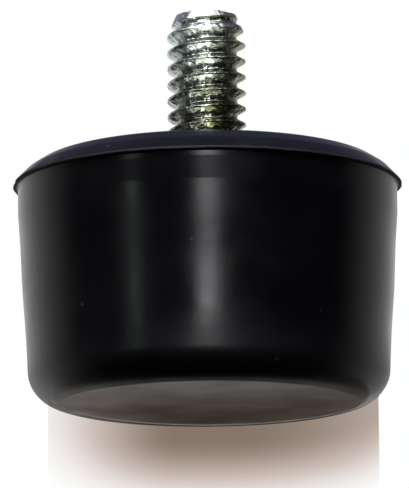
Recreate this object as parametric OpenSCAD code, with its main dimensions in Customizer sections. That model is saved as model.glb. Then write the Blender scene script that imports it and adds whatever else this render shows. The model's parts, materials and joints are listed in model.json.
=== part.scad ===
// Rubber foot with a threaded stud.
// A round rubber body is moulded over the wide head of a steel stud. The foot stands on its
// flat base, and the stud points up, ready to go through the underside of a case or a leg.
// Millimetres. The origin is the centre of the resting face, and +Z runs along the stud.

/* [Rubber body] */
// Height of the rubber, from the resting face to the top face
body_h = 19.05; // [15:0.05:30]
// Diameter of the straight band, just under the parting line
band_d = 29.6; // [26:0.1:45]
// Height of the straight band, down from the parting line
band_h = 2.35; // [0.8:0.05:4]
// Taper of the wall below the band, in degrees from upright
wall_draft = 4; // [0:0.1:6]
// Radius between the wall and the resting face
base_round = 2.25; // [0.5:0.05:4]

/* [Shoulder] */
// Height of the sloping shoulder, from the parting line up to the top face
shoulder_h = 1.8; // [0.8:0.1:4]
// Width of the shoulder, from the edge of the flash in to the top face's sharp corner
shoulder_w = 2.1; // [0.8:0.1:5]
// Radius between the shoulder and the top face
shoulder_round = 1.8; // [0.3:0.1:3]

/* [Moulding flash] */
// Reach of the flash beyond the band
flash_out = 0.4; // [0.1:0.05:0.8]
// Depth of the flash's underside below the parting line, where it meets the band
flash_root = 0.4; // [0.35:0.05:0.6]
// Thickness of the flash at its torn outer edge
flash_edge = 0.25; // [0.05:0.01:0.3]

/* [Stud] */
// Major diameter of the stud, over the crests of its thread
stud_d = 6.15; // [5:0.05:10]
// Length of the stud above the top face
stud_len = 11.75; // [6:0.05:40]
// Length of the tapered end
tip_len = 1.6; // [0.5:0.1:3]
// Depth of the taper at the end face, about the depth of the thread
tip_depth = 0.7; // [0.2:0.05:1.5]
// Depth of the plain shank's surface below the crests, which is half the depth of a rolled thread
shank_drop = 0.35; // [0.1:0.05:1]
// Length over which the thread runs out into the plain shank, just under the top face
runout_len = 0.6; // [0.2:0.1:1]

/* [Thread] */
// Distance from one crest to the next, 20 to the inch
pitch = 1.27; // [1.1:0.01:1.8]
// Width of the flat on each crest
crest_w = 0.16; // [0.05:0.01:0.3]
// Depth of the thread, from its crests to its roots
thread_depth = 0.675; // [0.3:0.025:0.8]
// Angle between the two flanks of a groove
flank_a = 60; // [50:1:64]

/* [Moulded-in head] */
// Diameter of the stud's head
head_d = 19; // [13:0.5:23]
// Thickness of the head
head_t = 2; // [1.2:0.1:4]
// Thickness of the rubber above the head
head_cover = 3.2; // [2.5:0.1:8]
// Radius on the two edges of the head
head_round = 0.5; // [0.1:0.05:0.55]
// Radius between the head and the shank
neck_round = 0.8; // [0.3:0.1:1.3]
// Number of notches round the head, which key it against turning in the rubber
key_count = 6; // [3:1:8]
// Diameter of each notch
key_d = 3; // [1.5:0.1:4]

/* [Hidden] */
$fn = 128;

// How far a cutting tool runs past the face that it cuts
over = 1;
// How far the circle of a rounding stands past the two sides that it joins. They would only
// graze otherwise, and this way each side crosses the circle at one clear point.
blend = 0.0005;

// Heights, from the resting face up
part_z = body_h - shoulder_h;
band_z = part_z - band_h;
head_top_z = body_h - head_cover;
head_z = head_top_z - head_t;
tip_z = body_h + stud_len;

// Radii of the body
band_r = band_d / 2;
rim_r = band_r + flash_out;
top_r = rim_r - shoulder_w;

// Slope of the shoulder, and the length that its rounding takes from each side of the corner
shoulder_a = atan2(shoulder_h, shoulder_w);
shoulder_set = shoulder_round * tan(shoulder_a / 2);
shoulder_c = [top_r - shoulder_set, body_h - shoulder_round];

// The rounding at the base touches both the resting face and the tapered wall
base_c = [
    band_r - (base_round + (band_z - base_round) * sin(wall_draft)) / cos(wall_draft),
    base_round
];
base_corner_r = band_r - band_z * tan(wall_draft);

// Radii of the stud
stud_r = stud_d / 2;
root_r = stud_r - thread_depth;
shank_r = stud_r - shank_drop;
head_r = head_d / 2;

// Width of each groove at the crests, and how many fit between the top face and the end
groove_w = pitch - crest_w;
groove_count = floor(stud_len / pitch);

// What a rounding takes off an outward corner of a profile: a wedge from the circle's centre
// that reaches past the corner, less the circle. touch_a and touch_b are where the circle meets
// the two sides.
module corner_waste(corner, touch_a, touch_b, centre, radius) {
    past = 1 + over / radius;
    difference() {
        polygon([for (p = [centre, touch_a, corner, touch_b]) centre + past * (p - centre)]);
        translate(centre) circle(r = radius + blend);
    }
}

// Half of the body's section. The wall leans in towards the base so that the body leaves its
// mould, and the flash is the lip that the two halves of the mould squeeze out between them.
module body_profile() {
    difference() {
        polygon([
            [0, 0],
            [base_corner_r, 0],
            [band_r, band_z],
            [band_r, part_z - flash_root],
            [rim_r, part_z - flash_edge],
            [rim_r, part_z],
            [top_r, body_h],
            [0, body_h]
        ]);
        corner_waste(
            [base_corner_r, 0],
            [base_c[0], 0],
            base_c + base_round * [cos(wall_draft), -sin(wall_draft)],
            base_c,
            base_round
        );
        corner_waste(
            [top_r, body_h],
            [shoulder_c[0], body_h],
            shoulder_c + shoulder_round * [sin(shoulder_a), cos(shoulder_a)],
            shoulder_c,
            shoulder_round
        );
    }
}

// Half of the head's section, a flat disc with both of its edges rounded
module head_profile() {
    edge_r = head_r - head_round;
    difference() {
        translate([0, head_z]) square([head_r, head_t]);
        corner_waste(
            [head_r, head_z],
            [edge_r, head_z],
            [head_r, head_z + head_round],
            [edge_r, head_z + head_round],
            head_round
        );
        corner_waste(
            [head_r, head_top_z],
            [edge_r, head_top_z],
            [head_r, head_top_z - head_round],
            [edge_r, head_top_z - head_round],
            head_round
        );
    }
}

// One groove of the thread, with its lower edge at height 0. Both flanks run on past the crests.
module groove_profile() {
    lean = tan(flank_a / 2);
    polygon([
        [root_r, thread_depth * lean],
        [stud_r + over, -over * lean],
        [stud_r + over, groove_w + over * lean],
        [root_r, groove_w - thread_depth * lean]
    ]);
}

// Half of the shank's section, from the head to the end. Below the top face the thread runs
// out into a plain shank, and at the end the crests taper down to the root of the thread.
// The crests are rings, a pitch apart: each has the thread's true section, without its climb.
module shank_profile() {
    difference() {
        polygon([
            [0, head_top_z - head_t / 2],
            [shank_r, head_top_z - head_t / 2],
            [shank_r, body_h - runout_len],
            [stud_r, body_h],
            [stud_r, tip_z - tip_len],
            [stud_r - tip_depth, tip_z],
            [0, tip_z]
        ]);
        for (i = [0 : groove_count - 1])
            translate([0, body_h + crest_w + i * pitch]) groove_profile();
    }
}

// The fillet that the heading die leaves between the head and the shank. Its square starts
// inside both of them.
module neck_profile() {
    inset = neck_round / 2;
    difference() {
        translate([shank_r - inset, head_top_z - inset]) square(neck_round + inset);
        translate([shank_r + neck_round, head_top_z + neck_round])
            circle(r = neck_round + blend);
    }
}

// The whole stud. The body's pocket is cut with this same shape, so the rubber meets the steel
// everywhere and fills the notches.
module stud_form() {
    difference() {
        rotate_extrude() head_profile();
        for (i = [0 : key_count - 1])
            rotate(360 * i / key_count)
                translate([head_r, 0, head_z - over])
                    cylinder(d = key_d, h = head_t + 2 * over);
    }
    rotate_extrude() shank_profile();
    rotate_extrude() neck_profile();
}

module rubber_body() {
    color("#1b1c20")
    difference() {
        rotate_extrude() body_profile();
        stud_form();
    }
}

module threaded_stud() {
    color("#b9bcb4")
    stud_form();
}

rubber_body();
threaded_stud();
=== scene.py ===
# %% [markdown]
# # A rubber foot with a threaded stud
# A rubber foot is moulded in a two-part steel mould. The stud is put in first, head down in the
# cavity, and the rubber flows round it and cures. So the foot has two pieces: a satin black body
# and a bright, zinc plated stud. This lesson dresses the two in Blender. The sizes come from the
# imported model, and the script works in millimetres until a mesh is finished.

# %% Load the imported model
import json
import math

import bmesh
import bpy
from mathutils import Matrix, Vector, noise


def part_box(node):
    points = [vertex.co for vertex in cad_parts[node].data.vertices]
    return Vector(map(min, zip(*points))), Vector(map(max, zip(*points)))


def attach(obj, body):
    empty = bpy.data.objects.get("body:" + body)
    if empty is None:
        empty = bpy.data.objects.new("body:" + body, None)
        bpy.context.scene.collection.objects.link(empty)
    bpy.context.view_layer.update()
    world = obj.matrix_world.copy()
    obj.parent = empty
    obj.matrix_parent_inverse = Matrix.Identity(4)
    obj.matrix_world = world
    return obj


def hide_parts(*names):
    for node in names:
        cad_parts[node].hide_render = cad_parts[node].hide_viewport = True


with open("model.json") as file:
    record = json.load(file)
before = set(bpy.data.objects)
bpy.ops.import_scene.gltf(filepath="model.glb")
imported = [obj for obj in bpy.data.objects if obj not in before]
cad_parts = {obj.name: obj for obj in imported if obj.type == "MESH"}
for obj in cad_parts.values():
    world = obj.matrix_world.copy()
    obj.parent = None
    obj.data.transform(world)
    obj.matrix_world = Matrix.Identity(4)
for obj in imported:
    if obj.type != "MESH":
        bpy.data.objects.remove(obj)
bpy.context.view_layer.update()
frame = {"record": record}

MM = 0.001

# %% Read the driving sizes from the frame
_, body_high = (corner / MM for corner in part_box("rubber_body"))
stud_low, stud_high = (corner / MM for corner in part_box("threaded_stud"))
BODY_H = body_high.z
RIM_R = body_high.x
TIP_Z = stud_high.z
HEAD_R = stud_high.y
HEAD_Z = stud_low.z
mounts = {mount["name"]: mount for mount in frame["record"]["mounts"]}
STUD_R = mounts["stud"]["dims"]["r_mm"]
print(f"body {BODY_H:.2f} high, rim radius {RIM_R:.2f}")
print(f"stud radius {STUD_R:.3f}, tip at {TIP_Z:.2f}")

# %% [markdown]
# ## Helpers
# A finished piece is one mesh object at the origin, with its place in the mesh. The body and the
# stud are both drawn in millimetres, so one function scales the mesh to metres, turns its faces
# outwards and makes the object. Points closer than MERGE_DIST are one point.

# %% Turn a bmesh into a finished piece
MERGE_DIST = 0.0005


def finish_piece(bm, name, sharp_deg):
    bmesh.ops.remove_doubles(bm, verts=bm.verts, dist=MERGE_DIST)
    bmesh.ops.recalc_face_normals(bm, faces=bm.faces)
    open_edges = sum(not edge.is_manifold for edge in bm.edges)
    bmesh.ops.scale(bm, vec=(MM, MM, MM), verts=bm.verts)
    mesh = bpy.data.meshes.new(name)
    bm.to_mesh(mesh)
    bm.free()
    mesh.shade_smooth()
    mesh.set_sharp_from_angle(angle=math.radians(sharp_deg))
    piece = bpy.data.objects.new(name, mesh)
    bpy.context.scene.collection.objects.link(piece)
    print(f"{name}: {len(mesh.polygons)} faces, {open_edges} open edges")
    return piece


# %% [markdown]
# A section is a line of corners in the X-Z plane, which a spin turns into a round piece. Each
# corner has the radius of its rounding. The bevel operator wants the length that it takes from
# each side, which is the radius times the tangent of half the turn.

# %% Draw a section from its corners


def draw_section(bm, corners, segments=10):
    points = [Vector((r, 0, z)) for r, z, _ in corners]
    verts = [bm.verts.new(point) for point in points]
    for a, b in zip(verts, verts[1:]):
        bm.edges.new((a, b))
    for i, (_, _, radius) in enumerate(corners):
        if not radius:
            continue
        turn = (points[i] - points[i - 1]).angle(points[i + 1] - points[i])
        bmesh.ops.bevel(
            bm,
            geom=[verts[i]],
            offset=radius * math.tan(turn / 2),
            offset_type="OFFSET",
            affect="VERTICES",
            segments=segments,
            profile=0.5,
            material=-1,
        )
    print(f"section with {len(bm.verts)} points")


# %% Pick the points out of what an operator returns


def only_verts(items):
    return [item for item in items if isinstance(item, bmesh.types.BMVert)]


# %% [markdown]
# ## The rubber body
# The body is a solid of revolution: a flat base, a wall that leans out by a few degrees so that
# it leaves the mould, a short straight band under the parting line, a thin lip of flash on the
# line, and a convex shoulder up to the flat top. Rubber shrinks unevenly as it cools, so the wall
# isn't quite straight: its lean changes three times on the way down, by two degrees or so, and a
# mirrored light bends with it. It could be lathed with the Screw modifier, but a spin in bmesh
# keeps the section as plain corners. At its rim the base turns up at a faint crease before it
# rounds into the wall, so the resting face has a clear edge. Inside, the section follows the
# stud's head and shank. Where the rubber meets the thread it creeps up a little, because the
# mould clears the thread there. An eighth of the turn is spun, and copies make up the rest.

# %% Spin the body
BAND_R = 14.8
BAND_H = 2.35
BASE_ROUND = 2.5
BASE_LIFT = 2.3
BASE_TURN = math.radians(15)
SHOULDER_H = 1.8
SHOULDER_W = 2.1
SHOULDER_ROUND = 1.8
TOP_INSET = 0.25
BULGE_R = 1.07
BULGE_Z = 0.95
BULGE_ROUND = 1.2
FLASH_ROOT = 0.24
FLASH_EDGE = 0.12
FLARE = 0.03
FLARE_H = 0.4
FLARE_ROUND = 0.5
LIP_LEAN = 0.022
LIP_ROUND = 0.03
COLLAR_R = 3.9
COLLAR_H = 0.12
COLLAR_ROUND = 0.3
COLLAR_EDGE = 0.08
ROOT_R = 2.4
ROOT_DIP = 0.1
SHANK_R = 2.725
RUNOUT = 0.6
HEAD_T = 2.0
HEAD_ROUND = 0.4
CRISP = 0.05

PART_Z = BODY_H - SHOULDER_H
BAND_Z = PART_Z - BAND_H
HEAD_TOP_Z = HEAD_Z + HEAD_T

# each stretch of the wall: its top, its lean in degrees and the rounding at its top
WALL = ((BAND_Z, 4.5, 1.0), (12.8, 2.4, 60), (9.0, 4.4, 60), (4.8, 2.0, 80))
wall_corners = []
radius = BAND_R - FLARE
for (top, draft, rounding), foot in zip(WALL, [top for top, _, _ in WALL[1:]] + [0]):
    wall_corners.append((radius, top, rounding))
    radius -= (top - foot) * math.tan(math.radians(draft))
BASE_R = radius

body_corners = [
    (0, 0, 0),
    (BASE_R - BASE_LIFT, 0, CRISP),
    (BASE_R, BASE_LIFT * math.tan(BASE_TURN), BASE_ROUND),
    *reversed(wall_corners),
    (BAND_R - FLARE, PART_Z - FLASH_ROOT - FLARE_H, FLARE_ROUND),
    (BAND_R, PART_Z - FLASH_ROOT, CRISP),
    (RIM_R, PART_Z - FLASH_EDGE, LIP_ROUND),
    (RIM_R - LIP_LEAN, PART_Z, LIP_ROUND),
    (RIM_R - SHOULDER_W + BULGE_R, PART_Z + BULGE_Z, BULGE_ROUND),
    (RIM_R - SHOULDER_W - TOP_INSET, BODY_H, SHOULDER_ROUND),
    (COLLAR_R, BODY_H, COLLAR_ROUND),
    (STUD_R, BODY_H + COLLAR_H, COLLAR_EDGE),
    (ROOT_R, BODY_H - ROOT_DIP, 0),
    (SHANK_R, BODY_H - RUNOUT, 0),
    (SHANK_R, HEAD_TOP_Z, 0),
    (HEAD_R, HEAD_TOP_Z, HEAD_ROUND),
    (HEAD_R, HEAD_Z, HEAD_ROUND),
    (0, HEAD_Z, 0),
]
SECTORS = 8
SECTOR_STEPS = 36

bm = bmesh.new()
draw_section(bm, body_corners)
bmesh.ops.spin(
    bm,
    geom=bm.verts[:] + bm.edges[:],
    cent=(0, 0, 0),
    axis=(0, 0, 1),
    angle=math.tau / SECTORS,
    steps=SECTOR_STEPS,
    use_merge=False,
)
sector = bm.verts[:] + bm.edges[:] + bm.faces[:]
for i in range(1, SECTORS):
    copy = bmesh.ops.duplicate(bm, geom=sector)["geom"]
    bmesh.ops.rotate(
        bm,
        cent=(0, 0, 0),
        matrix=Matrix.Rotation(math.tau * i / SECTORS, 3, "Z"),
        verts=only_verts(copy),
    )
bmesh.ops.remove_doubles(bm, verts=bm.verts, dist=MERGE_DIST)
print(f"body skin with {len(bm.faces)} faces")

# %% [markdown]
# Flash tears off unevenly when the foot is trimmed. A smooth noise round the rim pulls the thin
# lip in by a different amount at each angle and bends it a little. It only ever pulls inwards,
# so the piece stays inside the size of the real one. A Displace modifier could do it too, but
# here the pull is kept to the lip alone.

# %% Tear the flash
FLASH_OUT = RIM_R - BAND_R
TEAR_DEEPEST = 0.75 * FLASH_OUT
TEAR_LENGTH = 2.2
FINE_LENGTH = 0.5
CURL = 0.05
CURL_LENGTH = 3.1
LIP_START = 0.02
TEAR_PLACE = Vector((27.75, 8.25, 0))

for vert in bm.verts:
    radius = math.hypot(vert.co.x, vert.co.y)
    out = (radius - BAND_R - LIP_START) / FLASH_OUT
    if out <= 0 or abs(vert.co.z - PART_Z) > FLASH_ROOT + 0.01:
        continue
    place = vert.co.copy()
    place.z = 0
    tear = 0.5 + 0.5 * noise.noise(place / TEAR_LENGTH + TEAR_PLACE)
    fine = 0.5 + 0.5 * noise.noise(place / FINE_LENGTH + TEAR_PLACE)
    pull = out * TEAR_DEEPEST * min(1, 0.75 * tear**2 + 0.35 * fine * tear)
    vert.co.x -= pull * vert.co.x / radius
    vert.co.y -= pull * vert.co.y / radius
    vert.co.z += out * CURL * noise.noise(place / CURL_LENGTH)

body = finish_piece(bm, "moulded_body", 38)
weighted = body.modifiers.new("flat faces lead", "WEIGHTED_NORMAL")
weighted.keep_sharp = True
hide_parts("rubber_body")
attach(body, "root")

# %% [markdown]
# ## The threaded stud
# The thread is rolled between dies: 20 threads to the inch, right-handed, with 60 degree flanks,
# a narrow flat on the crest and a rounded root. One tooth's outline is drawn once and swept up a
# helix, by a spin that also climbs by one pitch each turn. The foot of each tooth then lands on
# the head of the one below, and merging doubles joins them into one skin. The Screw modifier
# could sweep it too, but a spin leaves plain points, which the next step can move and cut.

# %% Sweep the thread
PITCH = 1.27
CREST_FLAT = 0.16
CREST_Z = 27.12
CREST_ROUND = 0.04
ROOT_ROUND = 0.12
FLANK = (STUD_R - ROOT_R) * math.tan(math.radians(30))
STEPS_PER_TURN = 96
THREAD_START = BODY_H - RUNOUT

first_crest = CREST_Z - PITCH * math.ceil((CREST_Z - THREAD_START) / PITCH + 1)
turns = math.ceil((TIP_Z - first_crest) / PITCH + 1)
tooth = [
    (ROOT_R, first_crest - PITCH / 2, 0),
    (ROOT_R, first_crest - CREST_FLAT / 2 - FLANK, ROOT_ROUND),
    (STUD_R, first_crest - CREST_FLAT / 2, CREST_ROUND),
    (STUD_R, first_crest + CREST_FLAT / 2, CREST_ROUND),
    (ROOT_R, first_crest + CREST_FLAT / 2 + FLANK, ROOT_ROUND),
    (ROOT_R, first_crest + PITCH / 2, 0),
]

bm = bmesh.new()
draw_section(bm, tooth, segments=3)
flanks = [edge for edge in bm.edges if abs(edge.verts[0].co.x - edge.verts[1].co.x) > 0.2]
bmesh.ops.subdivide_edges(bm, edges=flanks, cuts=6)
bmesh.ops.spin(
    bm,
    geom=bm.verts[:] + bm.edges[:],
    cent=(0, 0, 0),
    axis=(0, 0, 1),
    dvec=(0, 0, PITCH / STEPS_PER_TURN),
    angle=math.tau,
    steps=STEPS_PER_TURN,
    use_merge=False,
)
one_turn = bm.verts[:] + bm.edges[:] + bm.faces[:]
for i in range(1, turns):
    copy = bmesh.ops.duplicate(bm, geom=one_turn)["geom"]
    bmesh.ops.translate(
        bm,
        vec=(0, 0, PITCH * i),
        verts=only_verts(copy),
    )
bmesh.ops.remove_doubles(bm, verts=bm.verts, dist=MERGE_DIST)
print(f"{turns} turns, flank {FLANK:.2f} mm high")

# %% [markdown]
# The blank was pointed before it was rolled, so the crests near the end are cut off by a cone.
# At the other end the thread runs out into the plain shank just under the rubber. Both are made
# by limiting how far each point stands from the axis. A boolean with a cone could cut the end,
# but it would leave slivers along the crests.

# %% Taper the end and run out the thread
TIP_LEN = 1.6
END_R = 2.375

for vert in bm.verts:
    radius = math.hypot(vert.co.x, vert.co.y)
    down = (TIP_Z - vert.co.z) / TIP_LEN
    limit = END_R + (STUD_R - END_R) * min(1, max(0, down))
    up = min(1, max(0, (vert.co.z - THREAD_START) / RUNOUT))
    wanted = SHANK_R + (min(radius, limit) - SHANK_R) * up
    vert.co.x *= wanted / radius
    vert.co.y *= wanted / radius

for height, outer, inner in ((TIP_Z, True, False), (THREAD_START, False, True)):
    bmesh.ops.bisect_plane(
        bm,
        geom=bm.verts[:] + bm.edges[:] + bm.faces[:],
        dist=0.0001,
        plane_co=(0, 0, height),
        plane_no=(0, 0, 1),
        clear_outer=outer,
        clear_inner=inner,
    )
rims = [edge for edge in bm.edges if edge.is_boundary]
top_rim = [edge for edge in rims if edge.verts[0].co.z > BODY_H]
low_rim = [edge for edge in rims if edge.verts[0].co.z < BODY_H]
print(f"rims with {len(top_rim)} and {len(low_rim)} edges")

# %% Close the end with a small chamfer
END_CHAMFER = 0.18
cap = bmesh.ops.holes_fill(bm, edges=top_rim)["faces"]
bmesh.ops.inset_region(bm, faces=cap, thickness=END_CHAMFER, use_even_offset=True)
for vert in bm.verts:
    radius = math.hypot(vert.co.x, vert.co.y)
    if vert.co.z > TIP_Z - 0.001 and radius > END_R - END_CHAMFER * 0.6:
        vert.co.z -= END_CHAMFER * 0.8

# %% [markdown]
# The head is a notched disc, which holds the stud in the rubber and stops it turning. It is never
# seen, but a piece is made whole. A circle is pulled in at the notches, extruded, and joined to
# the shank by bridging the two rims. A boolean could cut the notches too, with a less even mesh.

# %% Make the head and bridge it to the shank
KEYS = 6
KEY_R = 1.5
HEAD_STEPS = 144

disc = bmesh.ops.create_circle(bm, cap_ends=False, radius=HEAD_R, segments=HEAD_STEPS)
for vert in disc["verts"]:
    vert.co.z = HEAD_Z
    for key in range(KEYS):
        angle = math.tau * key / KEYS
        centre = Vector((HEAD_R * math.cos(angle), HEAD_R * math.sin(angle), HEAD_Z))
        reach = vert.co.xy.length
        outward = vert.co.xy / reach
        across = (centre.xy - outward * outward.dot(centre.xy)).length
        if across < KEY_R and outward.dot(centre.xy) > 0:
            depth = math.sqrt(KEY_R**2 - across**2)
            vert.co.xy = outward * (outward.dot(centre.xy) - depth)
floor_rim = list(dict.fromkeys(edge for vert in disc["verts"] for edge in vert.link_edges))
bmesh.ops.holes_fill(bm, edges=floor_rim)
side = bmesh.ops.extrude_edge_only(bm, edges=floor_rim)["geom"]
top_verts = only_verts(side)
top_edges = [item for item in side if isinstance(item, bmesh.types.BMEdge)]
bmesh.ops.translate(bm, vec=(0, 0, HEAD_T), verts=top_verts)
top_edges = [edge for edge in top_edges if abs(edge.verts[0].co.z - edge.verts[1].co.z) < 0.01]

low = bmesh.ops.extrude_edge_only(bm, edges=low_rim)["geom"]
low_verts = only_verts(low)
shank_rim = [
    item
    for item in low
    if isinstance(item, bmesh.types.BMEdge) and all(v in low_verts for v in item.verts)
]
bmesh.ops.translate(bm, vec=(0, 0, HEAD_TOP_Z - THREAD_START), verts=low_verts)
bmesh.ops.bridge_loops(bm, edges=top_edges + shank_rim)

stud = finish_piece(bm, "rolled_stud", 32)
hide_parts("threaded_stud")
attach(stud, "root")

# %% [markdown]
# ## Materials
# Colours are written as sRGB hex, as a colour picker gives them, and turned to the linear values
# that Blender's nodes take. Patterns are laid out in real millimetres: Object coordinates are in
# metres, so a scale of 1000 / size gives one feature in that many millimetres. One helper adds a
# node: a setting is an input by its name or number, or else a property of the node.

# %% Colour and node helpers


def colour(text):
    channels = [int(text[i : i + 2], 16) / 255 for i in (1, 3, 5)]
    return (*(c / 12.92 if c <= 0.04045 else ((c + 0.055) / 1.055) ** 2.4 for c in channels), 1)


def per_mm(size):
    return 1000 / size


def add_node(tree, kind, settings=None, links=None):
    node = tree.nodes.new(kind)
    for key, value in (settings or {}).items():
        if isinstance(key, int) or key in node.inputs:
            node.inputs[key].default_value = value
        else:
            setattr(node, key, value)
    for key, socket in (links or {}).items():
        tree.links.new(socket, node.inputs[key])
    return node


def new_material(name):
    material = bpy.data.materials.new(name)
    material.use_nodes = True
    tree = material.node_tree
    return material, tree, tree.nodes["Principled BSDF"]


# %% [markdown]
# ### Natural rubber, compression moulded
# Black rubber is dark because of its carbon filler. The mould's steel gives it a satin skin: sharp
# lights go soft, and at a glancing angle it still mirrors what is behind it. Slow waves come from
# uneven shrinkage, faint rings from the turning of the mould, and a fine grain from its steel.
# The skin gets duller towards the resting face, which is scuffed, and the torn lip has no skin at
# all. A few specks of dust lie on it. The grain and the specks are finer on the real skin, and
# are drawn this wide so that they show. An image could carry all this, but noise that is worked
# out from the place on the piece needs no unwrapping.

# %% Paint the rubber
rubber, tree, shader = new_material("compression_moulded_rubber")
place = add_node(tree, "ShaderNodeTexCoord").outputs["Object"]
waves = add_node(
    tree, "ShaderNodeTexNoise", {"Scale": per_mm(5), "Detail": 2.0}, {"Vector": place}
).outputs["Fac"]
grain = add_node(
    tree, "ShaderNodeTexNoise", {"Scale": per_mm(0.35), "Detail": 3.0}, {"Vector": place}
).outputs["Fac"]
turned = add_node(
    tree, "ShaderNodeMapping", {"Scale": (0.2, 0.2, 1.0)}, {"Vector": place}
).outputs["Vector"]
rings = add_node(
    tree,
    "ShaderNodeTexNoise",
    {"Scale": per_mm(2.2), "Detail": 1.0, "Roughness": 0.4},
    {"Vector": turned},
).outputs["Fac"]
nearest = add_node(
    tree, "ShaderNodeTexVoronoi", {"Scale": per_mm(3.1)}, {"Vector": place}
).outputs["Distance"]
specks = add_node(
    tree, "ShaderNodeMapRange", {"From Min": 0.06, "From Max": 0.02}, {"Value": nearest}
).outputs["Result"]
height = add_node(tree, "ShaderNodeSeparateXYZ", links={"Vector": place}).outputs["Z"]
scuffed = add_node(
    tree,
    "ShaderNodeMapRange",
    {"interpolation_type": "SMOOTHSTEP", "From Min": 6 * MM, "From Max": 0.0, "To Max": 0.15},
    {"Value": height},
).outputs["Result"]
satin = add_node(
    tree,
    "ShaderNodeMapRange",
    {
        "interpolation_type": "SMOOTHSTEP",
        "From Min": 0.3,
        "From Max": 0.7,
        "To Min": 0.19,
        "To Max": 0.28,
    },
    {"Value": waves},
).outputs["Result"]
flat_place = add_node(
    tree, "ShaderNodeVectorMath", {"operation": "MULTIPLY", 1: (1, 1, 0)}, {0: place}
).outputs["Vector"]
from_axis = add_node(
    tree, "ShaderNodeVectorMath", {"operation": "LENGTH"}, {0: flat_place}
).outputs["Value"]
on_lip = add_node(
    tree,
    "ShaderNodeMapRange",
    {"From Min": BAND_R * MM, "From Max": (BAND_R + 0.1) * MM, "To Max": 0.5},
    {"Value": from_axis},
).outputs["Result"]
under_line = add_node(
    tree,
    "ShaderNodeMapRange",
    {"From Min": (PART_Z + 0.08) * MM, "From Max": PART_Z * MM},
    {"Value": height},
).outputs["Result"]
torn = add_node(
    tree, "ShaderNodeMath", {"operation": "MULTIPLY"}, {0: on_lip, 1: under_line}
).outputs["Value"]
worn = satin
for wear in (scuffed, torn):
    worn = add_node(
        tree, "ShaderNodeMath", {"operation": "ADD"}, {0: worn, 1: wear}
    ).outputs["Value"]
dusty = add_node(
    tree,
    "ShaderNodeMath",
    {"operation": "MULTIPLY_ADD", 1: 0.25},
    {0: specks, 2: worn},
).outputs["Value"]
black = add_node(
    tree,
    "ShaderNodeMix",
    {"data_type": "RGBA", 6: colour("#050509"), 7: colour("#09090d")},
    {"Factor": waves},
).outputs[2]
skin = add_node(
    tree,
    "ShaderNodeMix",
    {"data_type": "RGBA", 7: colour("#26262a")},
    {"Factor": specks, 6: black},
).outputs[2]
normal = None
for pattern, depth in ((rings, 0.02), (waves, 0.02), (grain, 0.004)):
    bump = add_node(
        tree,
        "ShaderNodeBump",
        {"Strength": 1.0, "Distance": depth * MM},
        {"Height": pattern} | ({"Normal": normal} if normal else {}),
    )
    normal = bump.outputs["Normal"]
tree.links.new(skin, shader.inputs["Base Color"])
tree.links.new(dusty, shader.inputs["Roughness"])
tree.links.new(normal, shader.inputs["Normal"])
shader.inputs["IOR"].default_value = 1.5
body.data.materials.append(rubber)

# %% [markdown]
# ### Zinc plated steel, clear passivated
# The stud is bright zinc with a thin chromate film, bluish where it is thin. Towards one side (+X)
# and low down it turns a darker olive: partly the film's own tint where it dried thick, partly a
# painted shade on that side. Near the rubber, and more on the left, a painted grey shade darkens it
# where the black rubber keeps light away, and nuts have rubbed the free end. Zinc is a metal, so
# its colour is in its reflections, and the crystals of the plating make fine bright and dull spots
# in them. Real crystals are finer, and are drawn this coarse so that they show.

# %% Paint the zinc
zinc, tree, shader = new_material("clear_passivated_zinc")
place = add_node(tree, "ShaderNodeTexCoord").outputs["Object"]
# darker olive towards +X and low down: partly the film's own tint, partly painted shade
right_and_low = add_node(
    tree,
    "ShaderNodeVectorMath",
    {"operation": "DOT_PRODUCT", 1: (1, 0, -0.35)},
    {0: place},
).outputs["Value"]
patches = add_node(
    tree, "ShaderNodeTexNoise", {"Scale": per_mm(1.6), "Detail": 2.0}, {"Vector": place}
).outputs["Fac"]
wander = add_node(
    tree,
    "ShaderNodeMath",
    {"operation": "MULTIPLY_ADD", 1: 5 * MM},
    {0: patches, 2: right_and_low},
).outputs["Value"]
olive_and_shade = add_node(
    tree,
    "ShaderNodeMapRange",
    {"From Min": -10 * MM, "From Max": -3 * MM},
    {"Value": wander},
).outputs["Result"]
film_and_shade = add_node(
    tree,
    "ShaderNodeMix",
    {"data_type": "RGBA", 6: colour("#eaf2ec"), 7: colour("#7d7950")},
    {"Factor": olive_and_shade},
).outputs[2]
# painted shade: the colour darkens near the rubber, more on the left, where the rubber keeps light
# away
from_rubber = add_node(
    tree,
    "ShaderNodeVectorMath",
    {"operation": "DOT_PRODUCT", 1: (0.6, 0, 1)},
    {0: place},
).outputs["Value"]
shade_near_rubber = add_node(
    tree,
    "ShaderNodeMapRange",
    {"From Min": 27 * MM, "From Max": 17 * MM, "To Max": 0.6},
    {"Value": from_rubber},
).outputs["Result"]
film_with_shade = add_node(
    tree,
    "ShaderNodeMix",
    {"data_type": "RGBA", 7: colour("#5e5e54")},
    {"Factor": shade_near_rubber, 6: film_and_shade},
).outputs[2]
crystals = add_node(
    tree,
    "ShaderNodeTexNoise",
    {"Scale": per_mm(0.8), "Detail": 1.5, "Roughness": 0.6},
    {"Vector": place},
).outputs["Fac"]
gloss = add_node(
    tree,
    "ShaderNodeMapRange",
    {"From Min": 0.35, "From Max": 0.65, "To Min": 0.12, "To Max": 0.26},
    {"Value": crystals},
).outputs["Result"]
height = add_node(tree, "ShaderNodeSeparateXYZ", links={"Vector": place}).outputs["Z"]
rubbed = add_node(
    tree,
    "ShaderNodeMapRange",
    {"From Min": 20 * MM, "From Max": 30 * MM, "To Max": 0.1},
    {"Value": height},
).outputs["Result"]
dulled = add_node(
    tree, "ShaderNodeMath", {"operation": "ADD"}, {0: gloss, 1: rubbed}
).outputs["Value"]
pitted = add_node(
    tree, "ShaderNodeBump", {"Strength": 1.0, "Distance": 0.2 * MM}, {"Height": crystals}
).outputs["Normal"]
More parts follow.
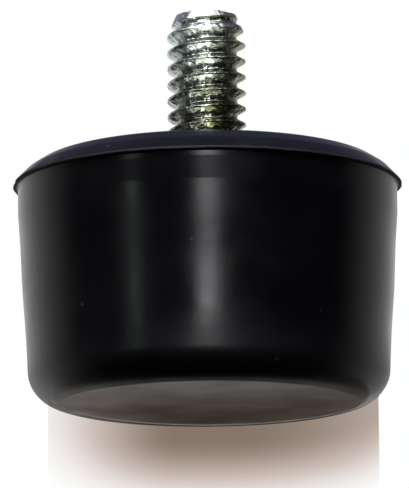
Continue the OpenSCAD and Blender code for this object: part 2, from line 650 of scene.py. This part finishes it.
tree.links.new(film_with_shade, shader.inputs["Base Color"])
tree.links.new(dulled, shader.inputs["Roughness"])
tree.links.new(pitted, shader.inputs["Normal"])
shader.inputs["Metallic"].default_value = 1.0
stud.data.materials.append(zinc)

# %% [markdown]
# ## The camera
# A long lens a third of a metre away looks up at the foot from ten degrees below its base, so the
# flat base shows as a thin ellipse under the wall. A Track To constraint could aim the camera, but
# axes that are worked out let the pivot stand off the middle of the frame.

# %% Place the camera
FRAME_W, FRAME_H = 409, 488
SENSOR = 36
FOCAL_PX = 4660
PX_PER_MM = 12.88
ELEVATION = math.radians(-10.1)
ROLL = math.radians(0.49)
PIVOT = Vector((0, 0, 8.61))
PIVOT_PX = Vector((208.4, 294.8))

distance = FOCAL_PX / PX_PER_MM
eye = PIVOT + distance * Vector((0, -math.cos(ELEVATION), math.sin(ELEVATION)))
off_centre = PIVOT_PX - Vector((FRAME_W / 2, FRAME_H / 2))


def axes_towards(target):
    back = (eye - target).normalized()
    right = Vector((0, 0, 1)).cross(back).normalized()
    up = back.cross(right)
    return (
        right * math.cos(ROLL) - up * math.sin(ROLL),
        up * math.cos(ROLL) + right * math.sin(ROLL),
        back,
    )


right, up, _ = axes_towards(PIVOT)
target = PIVOT + (up * off_centre.y - right * off_centre.x) / PX_PER_MM
right, up, back = axes_towards(target)

camera = bpy.data.objects.new("camera", bpy.data.cameras.new("camera"))
camera.data.sensor_width = SENSOR
camera.data.lens = SENSOR * FOCAL_PX / FRAME_H
camera.matrix_world = Matrix.Translation(eye * MM) @ Matrix((right, up, back)).transposed().to_4x4()
bpy.context.scene.collection.objects.link(camera)
bpy.context.scene.camera = camera
print(f"camera {distance:.0f} mm away with a {camera.data.lens:.0f} mm lens")

# %% [markdown]
# ## The studio
# A black, satin thing is lit by what it mirrors. A white backdrop stands behind the foot, and the
# room in front is dark, so the wall goes from bright at both sides to black in the middle. Each
# direction of the world gets a level of its own: full behind, falling off to the front, overhead,
# below and a little to the right, with a dim, bluish ceiling. The camera sees plain white
# everywhere, and metal and glass see the backdrop in full. Matt surfaces get less of it, so that
# the floor keeps its tone. An image of a studio could light it too, but a few ramps are easy to
# read and to change.

# %% Surround the foot
world = bpy.data.worlds.new("studio")
bpy.context.scene.world = world
world.use_nodes = True
tree = world.node_tree
tree.nodes.clear()
direction = add_node(tree, "ShaderNodeTexCoord").outputs["Generated"]
parts = add_node(tree, "ShaderNodeSeparateXYZ", links={"Vector": direction}).outputs
room = add_node(
    tree,
    "ShaderNodeMapRange",
    {"From Min": -0.7, "From Max": 0.1, "To Min": 0.028, "To Max": 0.008},
    {"Value": parts["X"]},
).outputs["Result"]
behind = add_node(
    tree, "ShaderNodeMapRange", {"To Max": 0.9}, {"Value": parts["Y"], "To Min": room}
).outputs["Result"]
overhead = add_node(tree, "ShaderNodeValToRGB", links={"Fac": parts["Z"]})
for stop_z, grey in ((0.2, 1.0), (0.45, 0.35), (0.6, 0.24), (0.8, 0.26), (0.95, 0.9)):
    stop = overhead.color_ramp.elements.new(stop_z)
    stop.color = (grey, grey, grey, 1)
overhead.color_ramp.elements.remove(overhead.color_ramp.elements[0])
overhead.color_ramp.elements.remove(overhead.color_ramp.elements[-1])
right_side = add_node(
    tree, "ShaderNodeMapRange", {"To Min": 1.0, "To Max": 0.7}, {"Value": parts["X"]}
).outputs["Result"]
below = add_node(
    tree,
    "ShaderNodeMapRange",
    {"From Min": -0.65, "From Max": -0.3, "To Min": 0.05, "To Max": 1.0},
    {"Value": parts["Z"]},
).outputs["Result"]
rays = add_node(tree, "ShaderNodeLightPath").outputs
mirrored = add_node(
    tree,
    "ShaderNodeMath",
    {"operation": "MAXIMUM"},
    {0: rays["Is Glossy Ray"], 1: rays["Is Transmission Ray"]},
).outputs["Value"]
share = add_node(
    tree, "ShaderNodeMapRange", {"To Min": 0.8, "To Max": 1.0}, {"Value": mirrored}
).outputs["Result"]
level = behind
for factor in (overhead.outputs["Color"], right_side, below, share):
    level = add_node(
        tree, "ShaderNodeMath", {"operation": "MULTIPLY"}, {0: level, 1: factor}
    ).outputs["Value"]
ceiling = add_node(
    tree,
    "ShaderNodeMapRange",
    {"From Min": 0.3, "From Max": 0.6, "To Max": 0.2},
    {"Value": parts["Z"]},
).outputs["Result"]
lit = add_node(
    tree, "ShaderNodeMath", {"operation": "MAXIMUM"}, {0: level, 1: ceiling}
).outputs["Value"]
strength = add_node(
    tree, "ShaderNodeMix", {"data_type": "FLOAT", 3: 1.0}, {"Factor": rays["Is Camera Ray"], 2: lit}
).outputs[0]
high_up = add_node(
    tree, "ShaderNodeMapRange", {"From Min": 0.2, "From Max": 0.7}, {"Value": parts["Z"]}
).outputs["Result"]
tinted = add_node(
    tree, "ShaderNodeMath", {"operation": "MULTIPLY"}, {0: high_up, 1: rays["Is Glossy Ray"]}
).outputs["Value"]
hue = add_node(
    tree,
    "ShaderNodeMix",
    {"data_type": "RGBA", 6: colour("#ffffff"), 7: colour("#c4c6ff")},
    {"Factor": tinted},
).outputs[2]
glow = add_node(tree, "ShaderNodeBackground", links={"Color": hue, "Strength": strength})
add_node(tree, "ShaderNodeOutputWorld", links={"Surface": glow.outputs["Background"]})

# %% [markdown]
# A lamp's place is given by its angle round the foot, its angle up and its distance. Its strength
# is given by how bright its face is, as that is what the rubber mirrors. A strip in front draws
# the bright line down the wall, and a narrow one draws a fainter line to its left. The boxes above
# fill the grooves of the thread, where light goes from flank to flank, and light the floor.

# %% Hang the lamps


def hang_lamp(name, azimuth, elevation, reach, width, height, radiance, hue):
    a, e = math.radians(azimuth), math.radians(elevation)
    to_lamp = Vector((math.sin(a) * math.cos(e), -math.cos(a) * math.cos(e), math.sin(e)))
    data = bpy.data.lights.new(name, "AREA")
    data.shape = "RECTANGLE"
    data.size = width * MM
    data.size_y = height * MM
    data.energy = radiance * math.pi * data.size * data.size_y
    data.color = colour(hue)[:3]
    lamp = bpy.data.objects.new(name, data)
    lamp.visible_camera = False
    lamp.matrix_world = (
        Matrix.Translation((Vector((0, 0, 10)) + reach * to_lamp) * MM)
        @ to_lamp.to_track_quat("Z", "Y").to_matrix().to_4x4()
    )
    bpy.context.scene.collection.objects.link(lamp)
    print(f"{name}: {math.degrees(2 * math.atan(width / 2 / reach)):.0f} degrees wide")


hang_lamp("front_strip", 0, 0, 450, 80, 75, 7.1, "#fbfdff")
hang_lamp("strip_end", 0, 11.5, 450, 80, 50, 1.5, "#fbfdff")
hang_lamp("left_strip", -45, 2, 450, 20, 110, 2.9, "#f4fff4")
hang_lamp("left_window", -44, 50, 500, 300, 300, 3.8, "#fbfcff")
hang_lamp("right_window", 36, 50, 500, 260, 260, 2.4, "#fbfcff")
hang_lamp("top_box", -1, 48, 500, 160, 240, 15, "#fbfcff")

# %% [markdown]
# ## The floor
# The foot stands on a pale floor. Further out, the camera and all that mirrors see it turn into
# the white backdrop. The camera looks up from under it, so the floor is one-sided: what reaches it
# from below passes through, and so does all that goes on from there.

# %% Lay the floor
FLOOR_GAP = 0.03
FLOOR_R = 900
bm = bmesh.new()
bmesh.ops.create_circle(bm, cap_ends=True, radius=FLOOR_R * MM, segments=96)
bmesh.ops.translate(bm, vec=(0, 0, -FLOOR_GAP * MM), verts=bm.verts)
mesh = bpy.data.meshes.new("floor")
bm.to_mesh(mesh)
bm.free()
floor = bpy.data.objects.new("floor", mesh)
bpy.context.scene.collection.objects.link(floor)

paper, tree, shader = new_material("pale_floor")
shader.inputs["Base Color"].default_value = colour("#f2f2f0")
shader.inputs["Roughness"].default_value = 0.9
place = add_node(tree, "ShaderNodeTexCoord").outputs["Object"]
reach = add_node(
    tree, "ShaderNodeVectorMath", {"operation": "LENGTH"}, {0: place}
).outputs["Value"]
far = add_node(
    tree,
    "ShaderNodeMapRange",
    {"interpolation_type": "SMOOTHSTEP", "From Min": 25 * MM, "From Max": 170 * MM},
    {"Value": reach},
).outputs["Result"]
rays = add_node(tree, "ShaderNodeLightPath").outputs
seen = rays["Is Camera Ray"]
for kind in ("Is Glossy Ray", "Is Transmission Ray"):
    seen = add_node(
        tree, "ShaderNodeMath", {"operation": "MAXIMUM"}, {0: seen, 1: rays[kind]}
    ).outputs["Value"]
backdrop = add_node(
    tree, "ShaderNodeMath", {"operation": "MULTIPLY"}, {0: far, 1: seen}
).outputs["Value"]
white = add_node(tree, "ShaderNodeEmission", {"Color": colour("#ffffff"), "Strength": 1.0})
swept = add_node(
    tree,
    "ShaderNodeMixShader",
    links={"Fac": backdrop, 1: shader.outputs["BSDF"], 2: white.outputs["Emission"]},
)
from_below = add_node(tree, "ShaderNodeNewGeometry").outputs["Backfacing"]
passed = add_node(
    tree,
    "ShaderNodeMath",
    {"operation": "GREATER_THAN", 1: 0.5},
    {0: rays["Transparent Depth"]},
).outputs["Value"]
open_to = add_node(
    tree, "ShaderNodeMath", {"operation": "MAXIMUM"}, {0: from_below, 1: passed}
).outputs["Value"]
clear = add_node(tree, "ShaderNodeBsdfTransparent")
one_sided = add_node(
    tree,
    "ShaderNodeMixShader",
    links={"Fac": open_to, 1: swept.outputs["Shader"], 2: clear.outputs["BSDF"]},
)
tree.links.new(one_sided.outputs["Shader"], tree.nodes["Material Output"].inputs["Surface"])
mesh.materials.append(paper)

# %% [markdown]
# ## The backdrop card
# Behind and below the foot hangs a small, clear card with a painted shadow of the foot on it, soft
# and warm. The painted shadow is deepest under the foot and fades downwards and to both sides. The
# card is bent round the foot, and the flat underside mirrors it. Its top edge follows the outline
# of the base, as the camera sees it.

# %% Hang the card
CARD_HALF_W = 12.6
CARD_DEPTH = 15.5
CARD_PLACE = (0.3 * MM, -4.8 * MM, 0)
CARD_H = 14
bm = bmesh.new()
top = bm.verts.new((1, 0, -FLOOR_GAP - 0.01))
side = bm.edges.new((top, bm.verts.new((1, 0, -CARD_H))))
bmesh.ops.spin(
    bm,
    geom=[*side.verts, side],
    cent=(0, 0, 0),
    axis=(0, 0, 1),
    angle=math.pi,
    steps=48,
    use_merge=False,
)
bmesh.ops.scale(bm, vec=(CARD_HALF_W * MM, CARD_DEPTH * MM, MM), verts=bm.verts)
bmesh.ops.translate(bm, vec=CARD_PLACE, verts=bm.verts)
mesh = bpy.data.meshes.new("card")
bm.to_mesh(mesh)
bm.free()
card = bpy.data.objects.new("card", mesh)
bpy.context.scene.collection.objects.link(card)

shade, tree, _ = new_material("painted_shadow_card")
place = add_node(tree, "ShaderNodeTexCoord").outputs["Object"]
parts = add_node(tree, "ShaderNodeSeparateXYZ", links={"Vector": place}).outputs
rays = add_node(tree, "ShaderNodeLightPath").outputs
depth = add_node(
    tree,
    "ShaderNodeMath",
    {"operation": "MAXIMUM"},
    {0: rays["Is Camera Ray"], 1: rays["Is Glossy Ray"]},
).outputs["Value"]
# each fade: its axis, where the shade is gone and where it is full
FADES = (("X", -16, -2.5), ("X", 34, 2), ("Z", -7.7, -1.1))
for axis, empty, full in FADES:
    fade = add_node(
        tree,
        "ShaderNodeMapRange",
        {"interpolation_type": "SMOOTHSTEP", "From Min": empty * MM, "From Max": full * MM},
        {"Value": parts[axis]},
    ).outputs["Result"]
    depth = add_node(
        tree, "ShaderNodeMath", {"operation": "MULTIPLY"}, {0: depth, 1: fade}
    ).outputs["Value"]
# painted shadow of the foot: white where there is none, warm brown where it is deepest
painted_shadow_ramp = add_node(tree, "ShaderNodeValToRGB", links={"Fac": depth})
painted_shadow_ramp.color_ramp.elements[0].color = colour("#ffffff")
painted_shadow_ramp.color_ramp.elements[1].color = colour("#867669")
painted_shadow_ramp.color_ramp.elements.new(0.5).color = colour("#cfc1b9")
clear = add_node(tree, "ShaderNodeBsdfTransparent", links={"Color": painted_shadow_ramp.outputs["Color"]})
tree.links.new(clear.outputs["BSDF"], tree.nodes["Material Output"].inputs["Surface"])
mesh.materials.append(shade)

# %% Finish
bpy.context.scene.view_settings.view_transform = "Standard"
